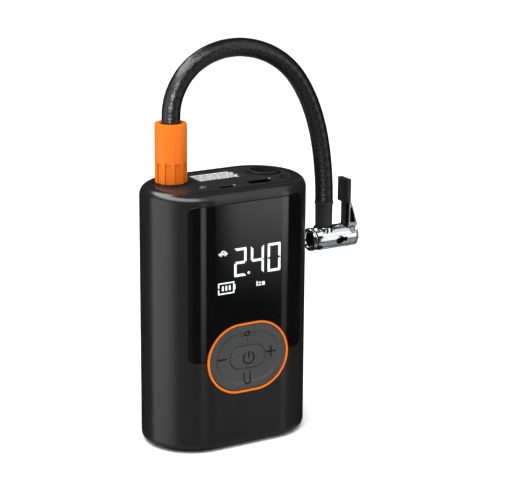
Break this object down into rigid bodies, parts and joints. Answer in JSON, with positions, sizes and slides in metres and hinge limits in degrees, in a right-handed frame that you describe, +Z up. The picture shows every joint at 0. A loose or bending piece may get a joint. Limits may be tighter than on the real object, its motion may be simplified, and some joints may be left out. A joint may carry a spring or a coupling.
{
  "type": "portable tire inflator",
  "caption": "Hand-held electric air pump: stadium-section body with display, control pad, top ports and an arched braided hose ending in a lever-lock valve chuck.",
  "frame": {"origin": "middle of the body footprint, on the surface that the body stands on", "axes": "+Z up through the body, +X to the right of someone who reads the display and towards the chuck, -Y out of the display"},
  "size_m": [0.1409, 0.058, 0.2278],
  "materials": {
    "satin_black": "satin moulded plastic, black",
    "matte_black": "fine matte texture, dark grey",
    "gloss_black": "piano-gloss black cover",
    "soft_black": "soft matte, dark grey",
    "orange": "satin orange",
    "inner_plastic": "moulded plastic, black",
    "rubber": "black silicone rubber",
    "board_green": "solder mask, green",
    "steel": "bright steel",
    "chrome": "polished chrome plate",
    "brass": "turned brass",
    "aluminium": "die-cast aluminium",
    "cell_wrap": "shrink-wrapped cell, blue-green",
    "nylon": "natural nylon",
    "clear_plastic": "clear to white light guide",
    "label_grey": "printed grey bars",
    "braid": "fine glossy black braid over a rubber hose"
  },
  "bodies": {
    "housing": {"housing_sleeve": "satin_black", "base_cap": "satin_black", "top_deck": "matte_black", "display_lens": "gloss_black", "button_ring": "orange", "vent_grille": "inner_plastic", "socket_cup": "inner_plastic", "display_module": "inner_plastic", "cell_tray_lower": "inner_plastic", "cell_tray_upper": "inner_plastic", "motor_end_cap": "inner_plastic", "key_mat": "rubber", "port_seal": "rubber", "main_board": "board_green", "port_board": "board_green", "base_screw_1": "steel", "base_screw_2": "steel", "base_screw_3": "steel", "base_screw_4": "steel", "usb_a_port": "steel", "usb_c_port": "steel", "motor_can": "steel", "crank_bearing": "steel", "gear_frame": "aluminium", "cylinder": "aluminium", "cylinder_head": "aluminium", "port_fitting": "aluminium", "battery_cell_1": "cell_wrap", "battery_cell_2": "cell_wrap", "battery_cell_3": "cell_wrap", "lamp_led": "nylon", "lamp_lens": "clear_plastic", "charge_light": "clear_plastic", "output_light": "clear_plastic", "info_panel": "label_grey"},
    "power_key": {"power_key": "soft_black"},
    "pad_flexure": {"pad_flexure": "inner_plastic"},
    "direction_pad": {"direction_pad": "soft_black"},
    "crank": {"crank_gear": "nylon", "crank_axle": "steel", "crank_pin": "steel"},
    "motor_rotor": {"motor_shaft": "steel", "drive_pinion": "brass"},
    "piston": {"piston_rod": "aluminium", "piston_seal": "rubber"},
    "outlet_valve": {"valve_disc": "rubber"},
    "hose_set": {"hose_tail": "brass", "hose": "braid", "hose_ferrule": "matte_black", "ferrule_stem": "brass", "chuck_barrel": "chrome", "chuck_nose": "chrome", "nose_seal": "rubber"},
    "hose_nut": {"hose_nut": "orange"},
    "chuck_plunger": {"chuck_plunger": "brass"},
    "chuck_lever": {"lever_yoke": "chrome", "lever_pad": "inner_plastic", "lever_pin": "steel"}
  },
  "joints": [
    {"name": "power_press", "type": "slide", "parent": "housing", "child": "power_key", "axis": [0, 1, 0], "range_m": [0, 0.0006], "stiffness_N_per_m": 900, "springref_m": -0.0004},
    {"name": "pad_tilt_x", "type": "hinge", "parent": "housing", "child": "pad_flexure", "pos_m": [0, -0.02535, 0.053], "axis": [1, 0, 0], "range_deg": [-1.2, 1.2], "stiffness_Nm_per_rad": 1.2},
    {"name": "pad_tilt_z", "type": "hinge", "parent": "pad_flexure", "child": "direction_pad", "pos_m": [0, -0.02535, 0.053], "axis": [0, 0, 1], "range_deg": [-1.2, 1.2], "stiffness_Nm_per_rad": 1.2},
    {"name": "crank_turn", "type": "hinge", "parent": "housing", "child": "crank", "pos_m": [-0.0225, 0.0127, 0.0959], "axis": [0, 1, 0], "continuous": true},
    {"name": "motor_turn", "type": "hinge", "parent": "housing", "child": "motor_rotor", "pos_m": [-0.00345, 0.0127, 0.0849], "axis": [0, 1, 0], "continuous": true},
    {"name": "piston_stroke", "type": "slide", "parent": "housing", "child": "piston", "axis": [0, 0, 1], "range_m": [-0.01, 0]},
    {"name": "valve_lift", "type": "slide", "parent": "housing", "child": "outlet_valve", "axis": [0, 0, 1], "range_m": [0, 0.0005], "stiffness_N_per_m": 60, "springref_m": -0.0003},
    {"name": "hose_lift", "type": "slide", "parent": "housing", "child": "hose_set", "axis": [0, 0, 1], "range_m": [0, 0.006]},
    {"name": "nut_turn", "type": "hinge", "parent": "hose_set", "child": "hose_nut", "pos_m": [-0.0307, 0.0046, 0.16], "axis": [0, 0, 1], "range_deg": [0, 1440]},
    {"name": "lever_swing", "type": "hinge", "parent": "hose_set", "child": "chuck_lever", "pos_m": [0.0872, 0.0046, 0.109], "axis": [0, 1, 0], "range_deg": [0, 90]},
    {"name": "plunger_slide", "type": "slide", "parent": "hose_set", "child": "chuck_plunger", "axis": [1, 0, 0], "range_m": [0, 0.0012]}
  ],
  "couplings": [
    {"joint": "motor_turn", "follows": "crank_turn", "ratio": -3.4},
    {"joint": "nut_turn", "follows": "hose_lift", "rad_per_m": 4188.8},
    {"joint": "lever_swing", "follows": "plunger_slide", "rad_per_m": 1309}
  ]
}
